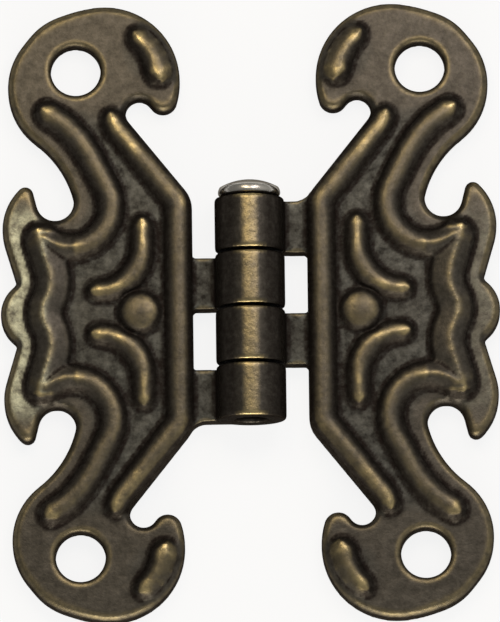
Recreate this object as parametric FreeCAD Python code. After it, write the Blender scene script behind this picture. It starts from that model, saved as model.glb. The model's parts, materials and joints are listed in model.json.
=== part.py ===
# Butterfly hinge: two scroll-shaped cast leaves on one headed pin.
# Millimetres. The backs of the leaves lie on Z = 0, the relief faces +Z and the pin runs along Y.
import FreeCAD, Part
import math
import os

# Barrel and pin
barrel_radius = 2.8
barrel_length = 18.0
knuckle_count = 4
knuckle_gap = 0.18
knuckle_bevel = 0.12
pin_radius = 1.25
running_clearance = 0.05
pin_end_recess = 0.3
pin_end_chamfer = 0.25
pin_head_radius = 2.5
pin_head_height = 1.5
pin_head_rim = 0.85
pin_head_bands = 2

# Plate of a leaf, measured outwards (X) and upwards (Y) from the middle of the pin
plate_thickness = 2.0
plate_edge_bevel = 0.4
half_width = 20.0
half_height = 25.0
inner_edge = 4.6
inner_corner_height = 8.5
inner_corner_radius = 2.4
strap_setback = 0.08
strap_root_radius = 1.4
screw_hole_radius = 2.0

# Places on a leaf, as shares of its half width outwards and its half height upwards
screw_hole_place = (0.69, 0.79)
lobe_place = (0.575, 0.758)
shoulder_place = (0.685, 0.736)
wing_place = (0.76, 0.276)
scroll_bend_place = (1.0175, 0.354)
scroll_bowl_place = (0.72, 0.346)
comma_place = (0.6075, 0.212)
bead_share = 0.4425

# Rounds of the outline: the lobe with its hook, the neck, the bay, and the wing down to the middle
lobe_radius = 6.05
shoulder_radius = 5.55
hook_tip_radius = 1.15
hook_tip_angle = 197.5
hook_notch_radius = 1.1
hook_notch_angle = -32.0
neck_radius = 8.2
neck_angle = -52.5
bay_radius = 1.5
bay_angle = 166.0
wing_radius = 4.6
wing_tip_radius = 0.65
wing_tip_angle = 46.0
middle_radius = 2.9
nick_radius = 0.35
nick_angle = 52.5

# Cast relief: half-round ridges, each a row of flats about a line just under the plate's face
ridge_sink = 0.42
ridge_flats = 4
ridge_foot_angle = 20.0
ridge_step = 15.0
ridge_taper = 3.0
ridge_end_angles = (35.0, 65.0)
bar_inset = 1.15
bar_ridge_radius = 1.25
bar_end_sweep = 25.0
bar_end_share = 0.85
scroll_ridge_radius = 1.23
scroll_bend_radius = 8.55
scroll_top_angle = 120.0
scroll_bowl_radius = 3.35
beak_angle = -52.0
beak_share = 1.12
wing_ridge_border = 3.15
wing_ridge_radius = 1.65
wing_ridge_flatten = 0.8
wing_ridge_lean = -0.3
wing_ridge_end_share = 1.0
wing_ridge_middle_radius = 1.75
comma_radius = 3.55
comma_ridge_radius = 1.2
comma_end_share = 0.88
comma_stem = 1.8
comma_end_angle = 272.0
hook_ridge_inset = 1.5
hook_ridge_radius = 1.3
hook_ridge_lean = -0.2
hook_ridge_end_share = 0.85
hook_ridge_top_angle = 129.0
hook_ridge_low_angle = 172.0
bead_length = 0.3
bead_radius = 1.85
bead_flatten = 0.66

CCW = 1
CW = -1
POINT = 0.0
SMALL = 1e-9
UP = FreeCAD.Vector(0, 0, 1)
ALONG_PIN = FreeCAD.Vector(0, 1, 0)
axis_height = barrel_radius
ridge_axis_height = plate_thickness - ridge_sink
knuckle_pitch = (barrel_length + knuckle_gap) / knuckle_count
knuckle_length = knuckle_pitch - knuckle_gap


def vector(point, height=0.0):
    """A point of the plan lifted to a height."""
    return FreeCAD.Vector(point[0], point[1], height)


def polar(centre, radius, degrees):
    """The point of the plan at a distance and an angle from a centre."""
    angle = math.radians(degrees)
    return (centre[0] + radius * math.cos(angle), centre[1] + radius * math.sin(angle))


def on_leaf(place):
    """The point of the plan at shares of the leaf's half width and half height."""
    return (place[0] * half_width, place[1] * half_height)


def angle_of(centre, point):
    """The angle, in degrees, at which a point is seen from a centre."""
    return math.degrees(math.atan2(point[1] - centre[1], point[0] - centre[0]))


def mirrored(rounds):
    """The same rounds below the middle line, in the order in which a path goes on to them."""
    return [((at[0], -at[1]), radius, turn) for at, radius, turn in reversed(rounds)]


def tangent_straight(first, second):
    """Both ends of the straight that leaves one round and meets the next without a corner."""
    (first_at, first_radius, first_turn) = first
    (second_at, second_radius, second_turn) = second
    distance = math.dist(first_at, second_at)
    ratio = (second_turn * second_radius - first_turn * first_radius) / distance
    if abs(ratio) > 1 - SMALL:
        ratio = round(ratio)
    heading = angle_of(first_at, second_at) - math.degrees(math.asin(ratio))
    start = polar(first_at, first_turn * first_radius, heading - 90)
    end = polar(second_at, second_turn * second_radius, heading - 90)
    return start, end


def arc_edge(centre, radius, turn, start, end, height):
    """The arc round a centre from one point to another, or nothing where they coincide."""
    first = angle_of(centre, start)
    sweep = (turn * (angle_of(centre, end) - first)) % 360
    if radius == POINT or min(sweep, 360 - sweep) < SMALL * 1000:
        return []
    middle = polar(centre, radius, first + turn * sweep / 2)
    return [Part.Arc(vector(start, height), vector(middle, height), vector(end, height)).toShape()]


def line_edge(start, end, height):
    """The straight from one point to another, or nothing where they coincide."""
    if math.dist(start, end) < SMALL * 1000:
        return []
    return [Part.LineSegment(vector(start, height), vector(end, height)).toShape()]


def path_edges(rounds, height, closed=False):
    """A smooth path round each (centre, radius, turn) in order; a radius of 0 is a plain point."""
    legs = len(rounds) if closed else len(rounds) - 1
    nexts = rounds[1:] + rounds[:1]
    straights = [tangent_straight(rounds[i], nexts[i]) for i in range(legs)]
    edges = []
    for i in range(legs):
        start, end = straights[i]
        edges += line_edge(start, end, height)
        if closed or i + 1 < legs:
            centre, radius, turn = nexts[i]
            following = straights[(i + 1) % legs]
            edges += arc_edge(centre, radius, turn, end, following[0], height)
    return edges


# Rounds of the leaf, and those that touch one another, each placed from the one that it touches
lobe_at = on_leaf(lobe_place)
shoulder_at = on_leaf(shoulder_place)
wing_at = on_leaf(wing_place)
scroll_bend_at = on_leaf(scroll_bend_place)
scroll_bowl_at = on_leaf(scroll_bowl_place)
comma_at = on_leaf(comma_place)
corner = ((inner_edge + inner_corner_radius, inner_corner_height), inner_corner_radius, CCW)
lobe = (lobe_at, lobe_radius, CCW)
shoulder = (shoulder_at, shoulder_radius, CCW)
hook_tip = (polar(lobe_at, lobe_radius - hook_tip_radius, hook_tip_angle), hook_tip_radius, CCW)
hook_notch_at = polar(hook_tip[0], hook_tip_radius + hook_notch_radius, hook_notch_angle)
hook_notch = (hook_notch_at, hook_notch_radius, CW)
neck_at = polar(shoulder_at, shoulder_radius + neck_radius, neck_angle)
neck = (neck_at, neck_radius, CW)
bay = (polar(neck_at, neck_radius - bay_radius, bay_angle), bay_radius, CW)
wing_tip = (polar(wing_at, wing_radius - wing_tip_radius, wing_tip_angle), wing_tip_radius, CCW)
wing = (wing_at, wing_radius, CCW)
middle_at = (half_width - middle_radius, 0.0)
middle = (middle_at, middle_radius, CCW)
nick_at = polar(middle_at, middle_radius + nick_radius, nick_angle)
nick = (nick_at, nick_radius, CW)


def plate():
    """The flat of a leaf with a bevelled front edge and two screw holes."""
    upper = [nick, wing, wing_tip, bay, neck, shoulder, lobe, hook_tip, hook_notch, corner]
    outline = Part.Wire(path_edges([middle] + upper + mirrored(upper), 0.0, closed=True))
    blank = Part.Face(outline).extrude(UP * plate_thickness)
    front = [edge for edge in blank.Edges if edge.BoundBox.ZMin > plate_thickness - SMALL]
    blank = blank.makeChamfer(plate_edge_bevel, front)
    for side in (1, -1):
        centre = on_leaf((screw_hole_place[0], side * screw_hole_place[1]))
        blank = blank.cut(Part.makeCylinder(screw_hole_radius, plate_thickness, vector(centre)))
    return blank


def knuckle(place):
    """One knuckle of the barrel, counted from the top, with bevelled lips."""
    top = barrel_length / 2 - place * knuckle_pitch
    base = FreeCAD.Vector(0, top - knuckle_length, axis_height)
    tube = Part.makeCylinder(barrel_radius, knuckle_length, base, ALONG_PIN)
    lips = [edge for edge in tube.Edges if edge.isClosed()]
    return tube.makeChamfer(knuckle_bevel, lips)


def strap(place):
    """The flat tongue that joins a knuckle to its leaf; the outermost one flares into the plate."""
    top = barrel_length / 2 - place * knuckle_pitch - strap_setback
    low = top + 2 * strap_setback - knuckle_length
    (corner_at, corner_radius, _) = corner
    ends = [(0.0, top), (0.0, low), (corner_at[0], low), (corner_at[0], top)]
    edges = []
    if place == 0:
        ends[3] = corner_at
        reach = strap_root_radius + corner_radius
        rise = top + strap_root_radius - corner_at[1]
        root_at = (corner_at[0] - math.sqrt(reach ** 2 - rise ** 2), top + strap_root_radius)
        touch = polar(corner_at, corner_radius, angle_of(corner_at, root_at))
        foot = (root_at[0], top)
        edges += line_edge(corner_at, touch, 0.0)
        edges += arc_edge(root_at, strap_root_radius, CW, touch, foot, 0.0)
        edges += line_edge(foot, ends[0], 0.0)
    else:
        edges += line_edge(ends[3], ends[0], 0.0)
    for start, end in zip(ends, ends[1:]):
        edges += line_edge(start, end, 0.0)
    return Part.Face(Part.Wire(edges)).extrude(UP * plate_thickness)


def stepped(rounds):
    """The points of a ridge's centre line, with its bends taken in short straights."""
    points = []
    for edge in path_edges(rounds, ridge_axis_height):
        steps = 1
        if isinstance(edge.Curve, Part.Circle):
            steps = math.ceil(math.degrees(edge.LastParameter - edge.FirstParameter) / ridge_step)
        points += edge.discretize(steps + 1)[:-1]
    return points + [edge.valueAt(edge.LastParameter)]


def ridge_section(at, across, radius, flatten, lean):
    """The half-round section of a ridge, flattened or leaning or not, as the corners between its flats."""
    corners = []
    for i in range(ridge_flats + 1):
        degrees = i * (180 + 2 * ridge_foot_angle) / ridge_flats - ridge_foot_angle
        reach, rise = polar((0.0, 0.0), radius, degrees)
        corners.append(at + across * (reach + rise * flatten * lean) + UP * (rise * flatten))
    return corners


def ridge_end(at, outward, across, radius, flatten, lean):
    """The sections that close a ridge in a dome, from its last full section to its tip."""
    sections = []
    for degrees in ridge_end_angles:
        advance, scaled = polar((0.0, 0.0), radius, 90 - degrees)
        sections.append(ridge_section(at + outward * advance, across, scaled, flatten, lean))
    return sections


def ridge(rounds, radius, head=1.0, tail=1.0, flatten=1.0, lean=0.0):
    """A ridge along a path with domed ends; head and tail are the shares of its radius at the ends."""
    points = stepped(rounds)
    legs = [(after - before).normalize() for before, after in zip(points, points[1:])]
    run = [0.0]
    for before, after in zip(points, points[1:]):
        run.append(run[-1] + before.distanceToPoint(after))
    sections = []
    for i, at in enumerate(points):
        before = legs[max(i - 1, 0)]
        after = legs[min(i, len(legs) - 1)]
        heading = (before + after).normalize()
        from_head = min(run[i] / ridge_taper, 1.0)
        from_tail = min((run[-1] - run[i]) / ridge_taper, 1.0)
        share = 1.0 - (1.0 - head) * (1.0 - from_head) - (1.0 - tail) * (1.0 - from_tail)
        mitre = heading.cross(UP) * (1 / heading.dot(after))
        sections.append(ridge_section(at, mitre, radius * share, flatten, lean))
    head_end = ridge_end(points[0], legs[0] * -1, legs[0].cross(UP), radius * head, flatten, lean)
    tail_end = ridge_end(points[-1], legs[-1], legs[-1].cross(UP), radius * tail, flatten, lean)
    return flat_faced_solid(head_end[::-1] + sections + tail_end)


def flat_faced_solid(sections):
    """A solid through a row of sections, with two triangles to each flat between neighbours."""
    faces = [Part.Face(Part.makePolygon(ring + ring[:1])) for ring in (sections[0], sections[-1])]
    for near, far in zip(sections, sections[1:]):
        for i in range(len(near)):
            first = (near[i - 1], near[i], far[i], near[i - 1])
            second = (near[i - 1], far[i], far[i - 1], near[i - 1])
            faces += [Part.Face(Part.makePolygon(corners)) for corners in (first, second)]
    shell = Part.makeShell(faces)
    shell.sewShape()
    solid = Part.makeSolid(shell)
    if solid.Volume < 0:
        solid.reverse()
    return solid.removeSplitter()


def both_halves(shape):
    """A shape of the upper half and its mirror image below the middle line."""
    return [shape, shape.mirror(FreeCAD.Vector(0, 0, 0), ALONG_PIN)]


def relief():
    """All ridges and the bead of a leaf."""
    pieces = []
    bar_corner = (corner[0], inner_corner_radius - bar_inset, CCW)
    bar_bend_radius = hook_notch_radius + bar_inset
    bar_bend = (hook_notch_at, bar_bend_radius, CW)
    bend_start = tangent_straight(bar_bend, bar_corner)[0]
    bar_end = polar(hook_notch_at, bar_bend_radius, angle_of(hook_notch_at, bend_start) + bar_end_sweep)
    bar_upper = [(bar_end, POINT, CCW), bar_bend, bar_corner]
    bar = ridge(bar_upper + mirrored(bar_upper), bar_ridge_radius, bar_end_share, bar_end_share)
    pieces.append(bar)

    beak_at = polar(scroll_bowl_at, scroll_bowl_radius, beak_angle)
    scroll = [
        (polar(scroll_bend_at, scroll_bend_radius, scroll_top_angle), POINT, CCW),
        (scroll_bend_at, scroll_bend_radius, CCW),
        (scroll_bowl_at, scroll_bowl_radius, CCW),
        (beak_at, POINT, CCW),
    ]
    pieces += both_halves(ridge(scroll, scroll_ridge_radius, tail=beak_share))

    wing_bend_radius = nick_radius + wing_ridge_border
    reach = wing_bend_radius + wing_ridge_middle_radius
    crest_at = (nick_at[0] - math.sqrt(reach ** 2 - nick_at[1] ** 2), 0.0)
    wing_upper = [(beak_at, POINT, CCW), (nick_at, wing_bend_radius, CCW)]
    wing_line = wing_upper + [(crest_at, wing_ridge_middle_radius, CW)] + mirrored(wing_upper)
    share = wing_ridge_end_share
    pieces.append(ridge(wing_line, wing_ridge_radius, share, share, wing_ridge_flatten, wing_ridge_lean))

    comma_side = polar(comma_at, comma_radius, 180)
    comma = [
        ((comma_side[0], comma_side[1] + comma_stem), POINT, CCW),
        (comma_at, comma_radius, CCW),
        (polar(comma_at, comma_radius, comma_end_angle), POINT, CCW),
    ]
    pieces += both_halves(ridge(comma, comma_ridge_radius, comma_end_share, comma_end_share))

    hook_line_radius = lobe_radius - hook_ridge_inset
    hook_line = [
        (polar(lobe_at, hook_line_radius, hook_ridge_top_angle), POINT, CCW),
        (lobe_at, hook_line_radius, CCW),
        (polar(lobe_at, hook_line_radius, hook_ridge_low_angle), POINT, CCW),
    ]
    hook = ridge(hook_line, hook_ridge_radius, head=hook_ridge_end_share, lean=hook_ridge_lean)
    pieces += both_halves(hook)

    bead_top = ((bead_share * half_width, bead_length / 2), POINT, CCW)
    pieces.append(ridge([bead_top] + mirrored([bead_top]), bead_radius, flatten=bead_flatten))
    return pieces


def leaf(bore_radius):
    """One casting: plate, relief, and every second knuckle from the top, bored for the pin."""
    pieces = relief()
    for place in range(0, knuckle_count, 2):
        pieces += [strap(place), knuckle(place)]
    casting = plate().multiFuse(pieces).removeSplitter()
    bore_start = FreeCAD.Vector(0, -barrel_length / 2, axis_height)
    return casting.cut(Part.makeCylinder(bore_radius, barrel_length, bore_start, ALONG_PIN))


def hinge_pin():
    """The pin: a plain shank with a chamfered end, and a rimmed dome on top of the barrel."""
    seat = barrel_length / 2
    end = pin_end_recess - barrel_length / 2
    profile = [
        (0.0, end),
        (pin_radius - pin_end_chamfer, end),
        (pin_radius, end + pin_end_chamfer),
        (pin_radius, seat),
        (pin_head_radius, seat),
    ]
    rise = pin_head_height - pin_head_rim
    dome_radius = (pin_head_radius ** 2 + rise ** 2) / (2 * rise)
    dome_at = (0.0, seat + pin_head_height - dome_radius)
    rim_angle = math.degrees(math.acos(pin_head_radius / dome_radius))
    for i in range(pin_head_bands + 1):
        profile.append(polar(dome_at, dome_radius, rim_angle + (90 - rim_angle) * i / pin_head_bands))
    face = Part.Face(Part.makePolygon([vector(point) for point in profile + profile[:1]]))
    turned = face.revolve(FreeCAD.Vector(0, 0, 0), ALONG_PIN, 360)
    return turned.translated(UP * axis_height)


def main():
    """Write each piece in its place."""
    os.makedirs("parts", exist_ok=True)
    origin = FreeCAD.Vector(0, 0, 0)
    right_leaf = leaf(pin_radius)
    left_leaf = leaf(pin_radius + running_clearance).rotated(origin, UP, 180)
    pieces = {"right_leaf": right_leaf, "left_leaf": left_leaf, "hinge_pin": hinge_pin()}
    for name, shape in pieces.items():
        shape.exportStep("parts/" + name + ".step")


main()
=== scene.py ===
# Butterfly hinge in antique brass: cast leaves with a worn patina, and a nickel-plated pin.
import json
import math

import bpy
import numpy as np
from mathutils import Matrix, Vector


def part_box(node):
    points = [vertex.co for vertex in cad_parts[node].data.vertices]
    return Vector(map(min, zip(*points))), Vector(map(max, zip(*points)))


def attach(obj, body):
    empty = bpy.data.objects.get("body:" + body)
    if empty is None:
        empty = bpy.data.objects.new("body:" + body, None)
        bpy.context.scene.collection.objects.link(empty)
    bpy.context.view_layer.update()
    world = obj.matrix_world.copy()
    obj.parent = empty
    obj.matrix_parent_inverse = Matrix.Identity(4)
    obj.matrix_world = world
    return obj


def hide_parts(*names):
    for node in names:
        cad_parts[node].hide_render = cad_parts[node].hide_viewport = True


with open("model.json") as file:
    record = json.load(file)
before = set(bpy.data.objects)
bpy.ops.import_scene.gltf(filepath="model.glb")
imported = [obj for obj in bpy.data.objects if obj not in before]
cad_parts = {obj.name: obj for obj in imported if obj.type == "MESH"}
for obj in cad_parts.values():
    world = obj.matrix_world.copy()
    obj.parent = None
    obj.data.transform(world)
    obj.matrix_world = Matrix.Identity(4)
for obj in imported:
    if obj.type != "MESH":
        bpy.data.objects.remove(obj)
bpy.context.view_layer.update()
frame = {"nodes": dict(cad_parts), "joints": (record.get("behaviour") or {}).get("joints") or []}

MM = 0.001
scene = bpy.context.scene
fold_axis = Vector(frame["joints"][0]["pos_m"])

# Casting, in mm: spacing of the skin's points, the plate, and the barrel round its axis
CAST_SPACING = 0.152
PLATE_TOP = 2.0
PLATE_SKIN = 0.12
RELIEF_FOOT = 0.1
BARREL_REACH = 3.2
BARREL_AXIS = 2.8
BARREL_SKIN = 2.95
BORE_SKIN = 1.9

# Ridges, in mm: how deep their round is sunk in the plate, and the flats that stand for it in the solid
RIDGE_SINK = 0.42
RIDGE_HIGHEST = 0.95
RIDGE_FLAT_SLOPE = math.tan(math.radians(27.5))
RIDGE_SHOULDER = math.radians(35)
RIDGE_PLUMPNESS = 2.0
CREST_SEARCH = 9
WING_RIDGE_INNER = 14.2
WING_RIDGE_TOP = 6.5
WING_RIDGE_SWELL = 0.3

# Bead, screw holes and lobes, in mm and degrees
BEAD_PLACE = 8.85
BEAD_RADIUS = 1.75
BEAD_HEIGHT = 0.8
BEAD_FOOT = 0.2
HOLE_PLACE = (13.8, 19.75)
HOLE_RADIUS = 2.0
HOLE_BEVEL = 0.25
HOLE_BEVEL_FADE = 0.9
SHOULDER_FILL = 0.33
SHOULDER_ANGLES = (25, 65, 105)
SHOULDER_REACH = (2.8, 4.2)

# Rounds of easing for the whole skin, the barrel and the relief, and for three scales of crests and hollows
SKIN_EASING = 1
BARREL_EASING = 2
RELIEF_EASING = 3
LIP_EASING = 4
NARROW_EASING = 60
BROAD_EASING = 500

# Rubbing and a painted highlight on the barrel: how far crests stand out in mm, how level the metal is, how
# bright each part gets
LIP_DEPTH = (0.008, 0.022)
WEAR_DEPTH = 0.12
CREST_SHARPNESS = 4
PLATE_EDGE_WEAR = 0.35
PLATE_LIP_WEAR = 0.4
# The barrel's streak is worn along its top and is also a painted highlight
BARREL_STREAK = (0.96, 0.999)
BARREL_STREAK_WEAR_AND_SHEEN = 0.45
WING_FLAT = (0.94, 0.985)
WING_BAND = (15.5, 17.5)
WING_TOP = (9.5, 6.5)

# Darkness: how far hollows lie back in mm, how steep the sides are, and how much soot and painted shade each
# holds
HOLLOW_DEPTH = 0.09
SHELTER_DEPTH = 0.35
CREASE_DEPTH = (0.005, 0.011)
# Facings at which the sides of the leaf, the plate and the barrel take painted shade
LEAF_SIDE = (0.955, 0.76)
PLATE_SIDE = (0.85, 0.4)
BARREL_SIDE = (0.996, 0.84)
KNUCKLE_END = 0.2
STRAP_INNER = (5.2, 4.6)
HOOK_REGION = (11.5, 17.3)
HOOK_INWARD = (0.0, 0.3)
HOOK_FLANK = 0.55
HOLE_WALL_SHADE = 0.75
# Painted shade on steep sides, hole walls and knuckle ends; HOOK_FLANK takes some off the hook's inward
# flank
PAINTED_SHADE_ON_SIDES = 0.68
SOOT_IN_HOLLOWS = 0.2
# Oxide and painted shade together in the sheltered middle between the ridges
SOOT_AND_SHADE_IN_SHELTER = 0.2
SOOT_IN_CREASES = 0.9
# Painted shade on the straps, which lie low beside the barrel
PAINTED_SHADE_ON_STRAPS = 0.2

# Colours
OXIDE = ("#383631", "#625d55")
PITTED_GREY = "#4e4f4b"
RUBBED_WING = "#bfc1aa"
# Yellow brass on worn crests and lips, and as a painted highlight along the barrel
RUBBED_BRASS_AND_SHEEN = "#bcaa7c"
# Soot-dark oxide, used also as painted shade on sides, hole walls and straps
SOOT_AND_SHADE = "#2c2623"
GRAZING_TINT = "#6f6a64"
# Nickel in painted shade, and bright nickel plate
NICKEL_SHADE_AND_PLATE = ("#2e2b28", "#c4c0b8")
PAPER = "#f4f4f2"
WHITE = "#ffffff"

# Patterns, in mm across, and the values that most of a noise falls in.
# The grain of the real oxide is finer than the picture can show, so it is drawn coarser.
MOTTLE = 1.1
GRAIN = 0.45
FLECK = 0.75
HAZE = 0.8
NOISE_SPAN = (0.3, 0.7)
PATCH_SPAN = (0.32, 0.62)

# Turned pin, in mm and degrees
BARREL_END = 9.0
PIN_SHANK = 1.25
PIN_CHAMFER = 0.25
PIN_RIM = 0.85
PIN_SEGMENTS = 96
PIN_FOOT_TUCK = 0.35
PIN_RIM_TUCK = 0.12
PIN_RIM_STEPS = 8
PIN_DOME_STEPS = 16
PIN_SHARP_ANGLE = 40
# Where the pin's painted shade, below the head's rim, fades into bright nickel, in mm from the barrel's end
PIN_SHADE_SPAN = (-0.05, 0.35)

# Paper: metres from its middle to its edges, and the share of it that is shown as plain white
PAPER_REACH = 2.0
PAPER_WHITE = 0.86


def linear(hex_colour):
    """An sRGB hex value as a linear colour."""
    channels = [int(hex_colour[i:i + 2], 16) / 255 for i in (1, 3, 5)]
    return [c / 12.92 if c <= 0.04045 else ((c + 0.055) / 1.055) ** 2.4 for c in channels] + [1.0]


def per_metre(size_mm):
    """The scale of a pattern whose features are this many mm across."""
    return 1.0 / (size_mm * MM)


def add(tree, kind, inputs=None, **settings):
    """A node with its settings, its values and its links."""
    made = tree.nodes.new(kind)
    for name, value in settings.items():
        setattr(made, name, value)
    for name, value in (inputs or {}).items():
        if isinstance(value, bpy.types.NodeSocket):
            tree.links.new(value, made.inputs[name])
        else:
            made.inputs[name].default_value = value
    return made


def noise(tree, place, size_mm, detail, roughness):
    """A cloudy pattern of a real size."""
    inputs = {"Vector": place, "Scale": per_metre(size_mm), "Detail": detail, "Roughness": roughness}
    return add(tree, "ShaderNodeTexNoise", inputs).outputs["Fac"]


def ranged(tree, value, low, high, span=(0.0, 1.0)):
    """A value's span stretched to run from low to high."""
    inputs = {"Value": value, "From Min": span[0], "From Max": span[1], "To Min": low, "To Max": high}
    return add(tree, "ShaderNodeMapRange", inputs).outputs["Result"]


def mixed(tree, share, first, second, data_type="RGBA", **settings):
    """A colour or a number between two others."""
    inputs = {"Factor": share, "A": first, "B": second}
    return add(tree, "ShaderNodeMix", inputs, data_type=data_type, **settings).outputs["Result"]


def maths(tree, operation, *values, **settings):
    """The result of an operation on values."""
    return add(tree, "ShaderNodeMath", dict(enumerate(values)), operation=operation, **settings).outputs[0]


def new_material(name):
    """An empty material with its output node."""
    material = bpy.data.materials.new(name)
    material.use_nodes = True
    material.node_tree.nodes.clear()
    return material, material.node_tree, material.node_tree.nodes.new("ShaderNodeOutputMaterial")


def step_between(values, start, end):
    """A smooth step from 0 at start to 1 at end, which may lie either way."""
    share = np.clip((values - start) / (end - start), 0, 1)
    return share * share * (3 - 2 * share)


def rows_of(items, field, width, kind=float):
    """A field of a mesh's points, edges or normals, as rows of numbers."""
    values = np.empty(len(items) * width, dtype=kind)
    items.foreach_get(field, values)
    return values.reshape(-1, width)


def eased(values, edges, rounds, where=1.0):
    """Values of the points drawn half-way to the mean of their neighbours, a number of times."""
    first, second = edges.T
    count = len(values)
    neighbours = np.bincount(first, minlength=count) + np.bincount(second, minlength=count)
    result = values.copy()
    for _ in range(rounds):
        for column in result.T:
            total = np.bincount(first, column[second], count) + np.bincount(second, column[first], count)
            column += 0.5 * where * (total / neighbours - column)
    return result


def leaf_skin(node):
    """The leaf's solid under an even skin of points, in mm."""
    mesh = frame["nodes"][node].data.copy()
    mesh.transform(Matrix.Scale(1 / MM, 4))
    solid = bpy.data.objects.new(node + "_solid", mesh)
    scene.collection.objects.link(solid)
    remesh = solid.modifiers.new("skin", "REMESH")
    remesh.mode = "VOXEL"
    remesh.voxel_size = CAST_SPACING
    graph = bpy.context.evaluated_depsgraph_get()
    skin = bpy.data.meshes.new_from_object(solid.evaluated_get(graph), depsgraph=graph)
    bpy.data.objects.remove(solid)
    bpy.data.meshes.remove(mesh)
    return skin


def highest_near(heights, edges, rounds):
    """The greatest height within a number of steps along the skin."""
    first, second = edges.T
    result = heights.copy()
    for _ in range(rounds):
        spread = result.copy()
        np.maximum.at(spread, first, result[second])
        np.maximum.at(spread, second, result[first])
        result = spread
    return result


def round_the_ridges(points, edges):
    """Each ridge's flats swelled to the plump half-round that they stand for."""
    rise = points[:, 2] - PLATE_TOP
    crest = np.minimum(highest_near(rise, edges, CREST_SEARCH), RIDGE_HIGHEST)
    radius = crest + RIDGE_SINK
    shoulder = radius * math.sin(RIDGE_SHOULDER) - RIDGE_SINK
    away = np.clip((crest - rise) / RIDGE_FLAT_SLOPE / (radius * math.cos(RIDGE_SHOULDER)), 0, 1)
    swell = crest - (crest - shoulder) * away ** RIDGE_PLUMPNESS - rise
    on_relief = (np.abs(points[:, 0]) > BARREL_REACH) & (rise > shoulder) & (rise < crest) & (shoulder > 0)
    on_wing = (np.abs(points[:, 0]) > WING_RIDGE_INNER) & (np.abs(points[:, 1]) < WING_RIDGE_TOP)
    points[:, 2] += np.where(on_relief, swell, 0) * np.where(on_wing, WING_RIDGE_SWELL, 1)


def dome_the_bead(points):
    """The bead as a round button on the middle line."""
    away = np.hypot(np.abs(points[:, 0]) - BEAD_PLACE, points[:, 1])
    dome = PLATE_TOP + BEAD_HEIGHT * np.sqrt(np.clip(1 - (away / BEAD_RADIUS) ** 2, 0, 1))
    on_bead = (away < BEAD_RADIUS + BEAD_FOOT) & (points[:, 2] > PLATE_TOP - RELIEF_FOOT)
    points[:, 2] = np.where(on_bead, dome, points[:, 2])


def bevel_the_holes(points):
    """Screw holes opened to a small bevel at the front."""
    for side in (1, -1):
        across = np.abs(points[:, 0]) - HOLE_PLACE[0]
        along = points[:, 1] - side * HOLE_PLACE[1]
        away = np.hypot(across, along)
        upward = np.clip((points[:, 2] - PLATE_TOP + HOLE_BEVEL) / HOLE_BEVEL, 0, 1)
        near = np.clip((HOLE_RADIUS + HOLE_BEVEL_FADE - away) / HOLE_BEVEL_FADE, 0, 1)
        spread = HOLE_BEVEL * upward * near / np.maximum(away, HOLE_RADIUS / 2)
        points[:, 0] += np.sign(points[:, 0]) * across * spread
        points[:, 1] += along * spread


def fill_the_shoulders(points):
    """The outer shoulder of each lobe brought out to an even round."""
    across = np.abs(points[:, 0]) - HOLE_PLACE[0]
    along = np.abs(points[:, 1]) - HOLE_PLACE[1]
    away = np.maximum(np.hypot(across, along), HOLE_RADIUS / 2)
    angle = np.degrees(np.arctan2(along, across))
    low, middle, high = SHOULDER_ANGLES
    swell = step_between(angle, low, middle) * step_between(angle, high, middle)
    swell = SHOULDER_FILL * swell * step_between(away, *SHOULDER_REACH) / away
    points[:, 0] += np.sign(points[:, 0]) * across * swell
    points[:, 1] += np.sign(points[:, 1]) * along * swell


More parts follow.
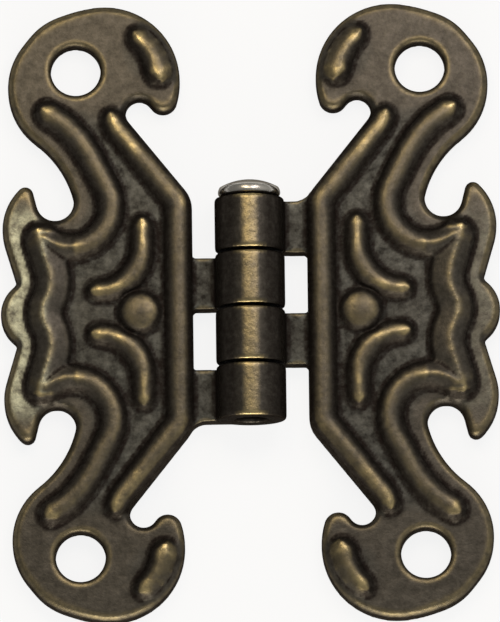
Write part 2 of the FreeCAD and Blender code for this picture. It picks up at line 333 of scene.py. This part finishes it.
def finish_marks(points, normals, edges, wing_rub):
    """Where the finish is worn bright, with a painted highlight along the barrel, where it is dark with
    oxide and painted shade, and where it is pitted.
    """
    reach, height = np.abs(points[:, 0]), np.abs(points[:, 1])
    facing = np.abs(normals[:, 2])
    from_axis = np.hypot(points[:, 0], points[:, 2] - BARREL_AXIS)
    from_hole = np.hypot(reach - HOLE_PLACE[0], height - HOLE_PLACE[1])
    on_barrel = from_axis < BARREL_SKIN
    on_plate = ~on_barrel & (points[:, 2] < PLATE_TOP + PLATE_SKIN)
    on_hook = (reach < HOOK_REGION[0]) & (height > HOOK_REGION[1]) & ~on_plate

    # Crests stand out from the eased skin, and hollows lie behind it
    lip_points = eased(points, edges, LIP_EASING)
    lip_out = ((points - lip_points) * normals).sum(1)
    narrow_points = eased(lip_points, edges, NARROW_EASING - LIP_EASING)
    stand_out = ((points - narrow_points) * normals).sum(1)
    heights = points[:, 2:]
    lie_low = (eased(heights, edges, BROAD_EASING) - heights)[:, 0] * np.sign(normals[:, 2])
    hollow = np.clip(-stand_out / HOLLOW_DEPTH, 0, 1)
    sheltered = np.clip(lie_low / SHELTER_DEPTH, 0, 1)
    crease = step_between(-lip_out, *CREASE_DEPTH)

    # Steep sides, among them the knuckles' ends, which face along the pin, and the hole walls: not rubbed,
    # and given painted shade, less of it on the hook's inward flank
    turned = facing / np.maximum(np.hypot(normals[:, 0], normals[:, 2]), KNUCKLE_END)
    leaf_side = np.where(on_plate, step_between(facing, *PLATE_SIDE), step_between(facing, *LEAF_SIDE))
    side = np.where(on_barrel, step_between(turned, *BARREL_SIDE), leaf_side)
    side = np.maximum(side, HOLE_WALL_SHADE * step_between(from_hole, HOLE_RADIUS + HOLE_BEVEL, HOLE_RADIUS))
    inward = -normals[:, 0] * np.sign(points[:, 0])
    side *= 1 - HOOK_FLANK * on_hook * step_between(inward, *HOOK_INWARD)

    # Rubbed bright: crests of the relief and sharp lips, and a streak along the barrel that is worn and also
    # a painted highlight
    crest = np.clip(stand_out / WEAR_DEPTH, 0, 1) ** CREST_SHARPNESS * np.where(on_plate, PLATE_EDGE_WEAR, 1)
    streak = BARREL_STREAK_WEAR_AND_SHEEN * step_between(turned, *BARREL_STREAK)
    lip = step_between(lip_out, *LIP_DEPTH) * np.where(on_plate, PLATE_LIP_WEAR, 1)
    bright = np.maximum(np.where(on_barrel, streak, crest), lip) * (1 - side) * (from_axis > BORE_SKIN)

    # Free of soot and painted shade: oxide in hollows and creases, painted shade on sides and the fronts of
    # the straps, both in the shelter
    strap_shade = np.where(on_barrel | (normals[:, 2] < 0), 0, step_between(reach, *STRAP_INNER))
    lit_and_clean = (1 - PAINTED_SHADE_ON_SIDES * side) * (1 - SOOT_IN_HOLLOWS * hollow) * (1 - SOOT_AND_SHADE_IN_SHELTER * sheltered)
    lit_and_clean *= (1 - SOOT_IN_CREASES * crease) * (1 - PAINTED_SHADE_ON_STRAPS * strap_shade)
    pitted = np.where(on_barrel, 0, np.maximum(sheltered, strap_shade) * (1 - side))

    # Flats of the wings, worn pale at the front
    wing = step_between(reach, *WING_BAND) * step_between(height, *WING_TOP)
    wing *= wing_rub * lit_and_clean * step_between(normals[:, 2], *WING_FLAT)
    return {"wear_and_sheen": bright, "soot_and_shade": 1 - lit_and_clean, "wing": wing, "pitted": pitted, "barrel": on_barrel}


def cast_leaf(name, node, body, wing_rub):
    """A leaf as it leaves the mould and the finisher: rounded, worn on the crests, dark with oxide in the
    hollows, with painted shade on its sides and straps and a painted highlight along the barrel.
    """
    skin = leaf_skin(node)
    points = rows_of(skin.vertices, "co", 3)
    edges = rows_of(skin.edges, "vertices", 2, int)
    round_the_ridges(points, edges)
    dome_the_bead(points)
    bevel_the_holes(points)
    fill_the_shoulders(points)
    points = eased(points, edges, SKIN_EASING)
    relief = (np.abs(points[:, 0]) > BARREL_REACH) & (points[:, 2] > PLATE_TOP - RELIEF_FOOT)
    points = eased(points, edges, RELIEF_EASING, relief.astype(float))
    barrel = np.abs(points[:, 0]) < BARREL_REACH
    points = eased(points, edges, BARREL_EASING, barrel.astype(float))
    skin.vertices.foreach_set("co", points.ravel())
    skin.update()
    normals = rows_of(skin.vertex_normals, "vector", 3)
    for mark, values in finish_marks(points, normals, edges, wing_rub).items():
        attribute = skin.attributes.new(mark, "FLOAT", "POINT")
        attribute.data.foreach_set("value", values.astype(np.float32))

    skin.transform(Matrix.Scale(MM, 4))
    skin.shade_smooth()
    skin.name = name
    skin.materials.clear()
    skin.materials.append(antique_brass)
    leaf = bpy.data.objects.new(name, skin)
    scene.collection.objects.link(leaf)
    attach(leaf, body)
    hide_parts(node)


def pin_profile(node):
    """Half of the pin's outline as (reach, place along the pin), in mm, from its lower end to its crown."""
    low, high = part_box(node)
    head_radius = (high.x - low.x) / 2 / MM
    crown = high.y / MM
    end = low.y / MM
    profile = [
        (0.0, end),
        (PIN_SHANK - PIN_CHAMFER, end),
        (PIN_SHANK, end + PIN_CHAMFER),
        (PIN_SHANK, BARREL_END),
    ]
    for step in range(PIN_RIM_STEPS):
        share = 2 * step / PIN_RIM_STEPS - 1
        tuck = PIN_FOOT_TUCK if share < 0 else PIN_RIM_TUCK
        profile.append((head_radius - tuck * share ** 2, BARREL_END + PIN_RIM * step / PIN_RIM_STEPS))

    rise = crown - BARREL_END - PIN_RIM
    dome_reach = head_radius - PIN_RIM_TUCK
    dome_radius = (dome_reach ** 2 + rise ** 2) / (2 * rise)
    rim_angle = math.asin(dome_reach / dome_radius)
    for step in range(PIN_DOME_STEPS + 1):
        angle = rim_angle * (1 - step / PIN_DOME_STEPS)
        profile.append((dome_radius * math.sin(angle), crown - dome_radius * (1 - math.cos(angle))))
    return profile


def turned_pin(name, node, body):
    """The pin as turned: a plain shank with a chamfered end, and a domed head with a bulged rim."""
    points = []
    rows = []
    for reach, along in pin_profile(node):
        segments = PIN_SEGMENTS if reach > 0 else 1
        rows.append(range(len(points), len(points) + segments))
        for i in range(segments):
            angle = 2 * math.pi * i / PIN_SEGMENTS
            rise = fold_axis.z + reach * math.sin(angle) * MM
            points.append((reach * math.cos(angle) * MM, along * MM, rise))
    faces = []
    for near, far in zip(rows, rows[1:]):
        for i in range(PIN_SEGMENTS):
            near_pair = [near[i % len(near)], near[(i + 1) % len(near)]]
            far_pair = [far[(i + 1) % len(far)], far[i % len(far)]]
            faces.append(list(dict.fromkeys(near_pair + far_pair)))

    mesh = bpy.data.meshes.new(name)
    mesh.from_pydata(points, [], faces)
    mesh.update()
    mesh.shade_smooth()
    mesh.set_sharp_from_angle(angle=math.radians(PIN_SHARP_ANGLE))
    mesh.materials.append(nickel_plate)
    pin = bpy.data.objects.new(name, mesh)
    scene.collection.objects.link(pin)
    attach(pin, body)
    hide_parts(node)


def make_antique_brass():
    """Antique brass on a zinc casting: brass plate darkened by a brown oxide and worn back,
    so crests show yellow metal, hollows stay nearly black and the flats are a mottled olive brown;
    sides, hole walls and straps carry painted shade, and the barrel a painted highlight."""
    material, tree, output = new_material("antique_brass")
    place = add(tree, "ShaderNodeTexCoord").outputs["Object"]
    wear_and_sheen, soot_and_shade, wing, pitted, barrel = [
        add(tree, "ShaderNodeAttribute", attribute_name=mark).outputs["Fac"]
        for mark in ("wear_and_sheen", "soot_and_shade", "wing", "pitted", "barrel")
    ]
    mottle = noise(tree, place, MOTTLE, detail=4.0, roughness=0.6)
    grain = noise(tree, place, GRAIN, detail=3.0, roughness=0.7)
    fleck = noise(tree, place, FLECK, detail=3.0, roughness=0.65)

    # Oxide: brown and faintly grained on the flats, grey and flecked where the casting is pitted
    oxide = mixed(tree, mottle, linear(OXIDE[0]), linear(OXIDE[1]))
    grey = mixed(tree, pitted, oxide, linear(PITTED_GREY))
    faint = ranged(tree, grain, 0.75, 1.25, NOISE_SPAN)
    coarse = ranged(tree, fleck, 0.3, 1.9, NOISE_SPAN)
    speckle = mixed(tree, pitted, faint, coarse, data_type="FLOAT")
    flat = mixed(tree, 1.0, grey, speckle, blend_type="MULTIPLY")

    # Metal that shows through in patches: pale on the wings, yellow on the crests, and yellow as a painted
    # highlight along the barrel
    burnish = maths(tree, "MULTIPLY", wing, ranged(tree, fleck, 0.1, 1.1, NOISE_SPAN))
    pale = mixed(tree, burnish, flat, linear(RUBBED_WING))
    rubbed_and_sheen = maths(tree, "MULTIPLY", wear_and_sheen, ranged(tree, fleck, 0.35, 1.0, PATCH_SPAN))
    metal = mixed(tree, rubbed_and_sheen, pale, linear(RUBBED_BRASS_AND_SHEEN))

    # Soot in the hollows and painted shade on the sides, uneven with the grain
    dark = maths(tree, "MULTIPLY", soot_and_shade, ranged(tree, grain, 1.2, 0.6, NOISE_SPAN), use_clamp=True)
    sooted_and_shaded = mixed(tree, dark, metal, linear(SOOT_AND_SHADE))

    # Worn and highlighted metal and the barrel are smoother, and soot and painted shade are matt
    gloss = ranged(tree, rubbed_and_sheen, 0.46, 0.3)
    smooth = mixed(tree, barrel, gloss, 0.32, data_type="FLOAT")
    matt = maths(tree, "MULTIPLY_ADD", dark, 0.25, smooth)
    height = maths(tree, "ADD", grain, mottle)
    bump = add(tree, "ShaderNodeBump", {"Height": height, "Strength": 0.5, "Distance": 0.05 * MM})
    shader = add(tree, "ShaderNodeBsdfPrincipled", {
        "Base Color": sooted_and_shaded, "Roughness": matt, "Normal": bump.outputs["Normal"],
        "Specular Tint": linear(GRAZING_TINT), "Metallic": 1.0})
    tree.links.new(shader.outputs["BSDF"], output.inputs["Surface"])
    return material


def make_nickel_plate():
    """Nickel plate on a turned pin: a bright head with a soft haze, and painted shade on the shank inside
    the barrel and under the head's rim.
    """
    material, tree, output = new_material("nickel_plate")
    place = add(tree, "ShaderNodeTexCoord").outputs["Object"]
    haze = noise(tree, place, HAZE, detail=3.0, roughness=0.5)
    along = add(tree, "ShaderNodeSeparateXYZ", {"Vector": place}).outputs["Y"]
    # Painted shade on the shank and the rim's foot, fading to bright nickel up the head
    shade_span = [(BARREL_END + edge) * MM for edge in PIN_SHADE_SPAN]
    tone = mixed(tree, ranged(tree, along, 0.0, 1.0, shade_span), linear(NICKEL_SHADE_AND_PLATE[0]), linear(NICKEL_SHADE_AND_PLATE[1]))
    shader = add(tree, "ShaderNodeBsdfPrincipled", {
        "Base Color": tone, "Roughness": ranged(tree, haze, 0.18, 0.3),
        "Specular Tint": linear(GRAZING_TINT), "Metallic": 1.0})
    tree.links.new(shader.outputs["BSDF"], output.inputs["Surface"])
    return material


def make_paper():
    """White paper: matt, shown as white, with the hinge's shadow kept on it."""
    material, tree, output = new_material("white_paper")
    path = add(tree, "ShaderNodeLightPath").outputs
    seen = maths(tree, "MAXIMUM", path["Is Camera Ray"], path["Is Glossy Ray"])
    seen = maths(tree, "MAXIMUM", seen, path["Is Transmission Ray"])
    share = maths(tree, "MULTIPLY", seen, PAPER_WHITE)
    matt = add(tree, "ShaderNodeBsdfDiffuse", {"Color": linear(PAPER)})
    white = add(tree, "ShaderNodeEmission", {"Color": linear(WHITE), "Strength": 1.0})
    both = add(tree, "ShaderNodeMixShader", {0: share, 1: matt.outputs[0], 2: white.outputs[0]})
    tree.links.new(both.outputs[0], output.inputs["Surface"])
    return material


def lay_paper():
    """The sheet that the hinge lies on."""
    mesh = bpy.data.meshes.new("paper")
    corners = [(x * PAPER_REACH, y * PAPER_REACH, 0) for x, y in ((-1, -1), (1, -1), (1, 1), (-1, 1))]
    mesh.from_pydata(corners, [], [(0, 1, 2, 3)])
    mesh.materials.append(make_paper())
    paper = bpy.data.objects.new("paper", mesh)
    scene.collection.objects.link(paper)


def light_studio():
    """A soft studio: a dome that is brighter above and to the right, two small soft boxes over the hinge,
    and a low strip in front."""
    world = bpy.data.worlds.new("studio")
    scene.world = world
    world.use_nodes = True
    tree = world.node_tree
    tree.nodes.clear()
    output = tree.nodes.new("ShaderNodeOutputWorld")
    direction = add(tree, "ShaderNodeTexCoord").outputs["Generated"]
    bright_side = Vector((0.55, 0.13, 0.83)).normalized()
    towards = add(tree, "ShaderNodeVectorMath", {0: direction, 1: bright_side}, operation="DOT_PRODUCT")
    upper_half = maths(tree, "MAXIMUM", towards.outputs["Value"], 0.0)
    level = ranged(tree, maths(tree, "POWER", upper_half, 2.0), 0.22, 0.52)
    sky = add(tree, "ShaderNodeBackground", {"Color": linear("#fffdf8"), "Strength": level})
    tree.links.new(sky.outputs[0], output.inputs["Surface"])

    # Name, colour, place and size in metres, and watts
    lamps = (
        ("warm_box", "#ffecca", (-0.02, 0.05, 0.1), (0.03, 0.06), 0.026),
        ("cool_box", "#f8ece8", (0.035, 0.05, 0.1), (0.04, 0.06), 0.031),
        ("front_strip", "#fff6e6", (0.0, -0.25, 0.07), (0.24, 0.05), 0.45),
    )
    for name, tint, place, size, power in lamps:
        light = bpy.data.lights.new(name, "AREA")
        light.shape = "RECTANGLE"
        light.size, light.size_y = size
        light.energy = power
        light.color = linear(tint)[:3]
        lamp = bpy.data.objects.new(name, light)
        lamp.location = place
        lamp.rotation_euler = (-lamp.location).to_track_quat("-Z", "Y").to_euler()
        lamp.visible_camera = False
        scene.collection.objects.link(lamp)


def set_camera():
    """A long lens nearly straight above, leaning a little towards the foot of the barrel."""
    lean = math.radians(10.0)
    roll = math.radians(-0.7)
    distance = 1.5
    aim = Vector((-0.04, 0.0, 2.0)) * MM
    back = Vector((0, -math.sin(lean), math.cos(lean)))
    upright = back.to_track_quat("Z", "Y").to_matrix().to_4x4()
    lens = bpy.data.cameras.new("camera")
    lens.sensor_fit = "VERTICAL"
    lens.sensor_height = 24.0
    lens.lens = 723.0
    lens.clip_start = 0.01
    camera = bpy.data.objects.new("camera", lens)
    camera.location = aim + back * distance
    camera.rotation_euler = (Matrix.Rotation(roll, 4, back) @ upright).to_euler()
    scene.collection.objects.link(camera)
    scene.camera = camera


scene.view_settings.view_transform = "Standard"
antique_brass = make_antique_brass()
nickel_plate = make_nickel_plate()
set_camera()
light_studio()
lay_paper()
cast_leaf("right_casting", "right_leaf", "fixed_side", wing_rub=0.15)
cast_leaf("left_casting", "left_leaf", "swinging_side", wing_rub=1.0)
turned_pin("domed_pin", "hinge_pin", "fixed_side")
